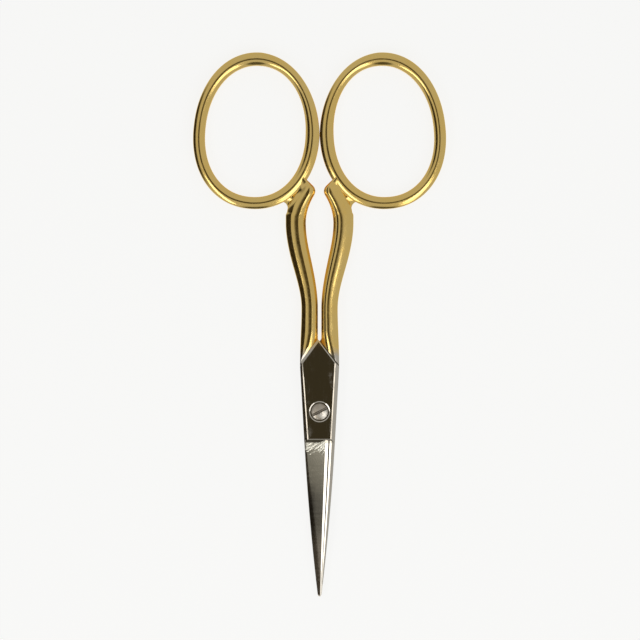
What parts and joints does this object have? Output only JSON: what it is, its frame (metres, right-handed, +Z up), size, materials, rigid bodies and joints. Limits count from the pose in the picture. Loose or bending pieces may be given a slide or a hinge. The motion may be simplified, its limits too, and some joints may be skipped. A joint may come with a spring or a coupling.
{
  "type": "embroidery scissors",
  "caption": "Small embroidery scissors with oval gilt finger bows, rounded shanks with stop knobs, nickel pivot plates and slim pointed blades on a slotted pivot screw.",
  "frame": {"origin": "under the middle of the closed scissors' length and width, on the surface they lie on", "axes": "+X towards the rear half's bow, +Y from the points towards the finger bows, +Z up out of the surface, towards the screw's head"},
  "size_m": [0.0442, 0.095, 0.0033],
  "materials": {
    "gilt": "polished gold plate",
    "nickel": "polished nickel plate with ground bevels",
    "screw_steel": "turned and polished"
  },
  "bodies": {
    "front_half": {"front_handle": "gilt", "front_blade": "nickel"},
    "rear_half": {"rear_handle": "gilt", "rear_blade": "nickel", "pivot_screw": "screw_steel"}
  },
  "joints": [
    {"name": "pivot", "type": "hinge", "parent": "front_half", "child": "rear_half", "pos_m": [0, -0.01521, 0.00155], "axis": [0, 0, -1], "range_deg": [0, 135]}
  ]
}
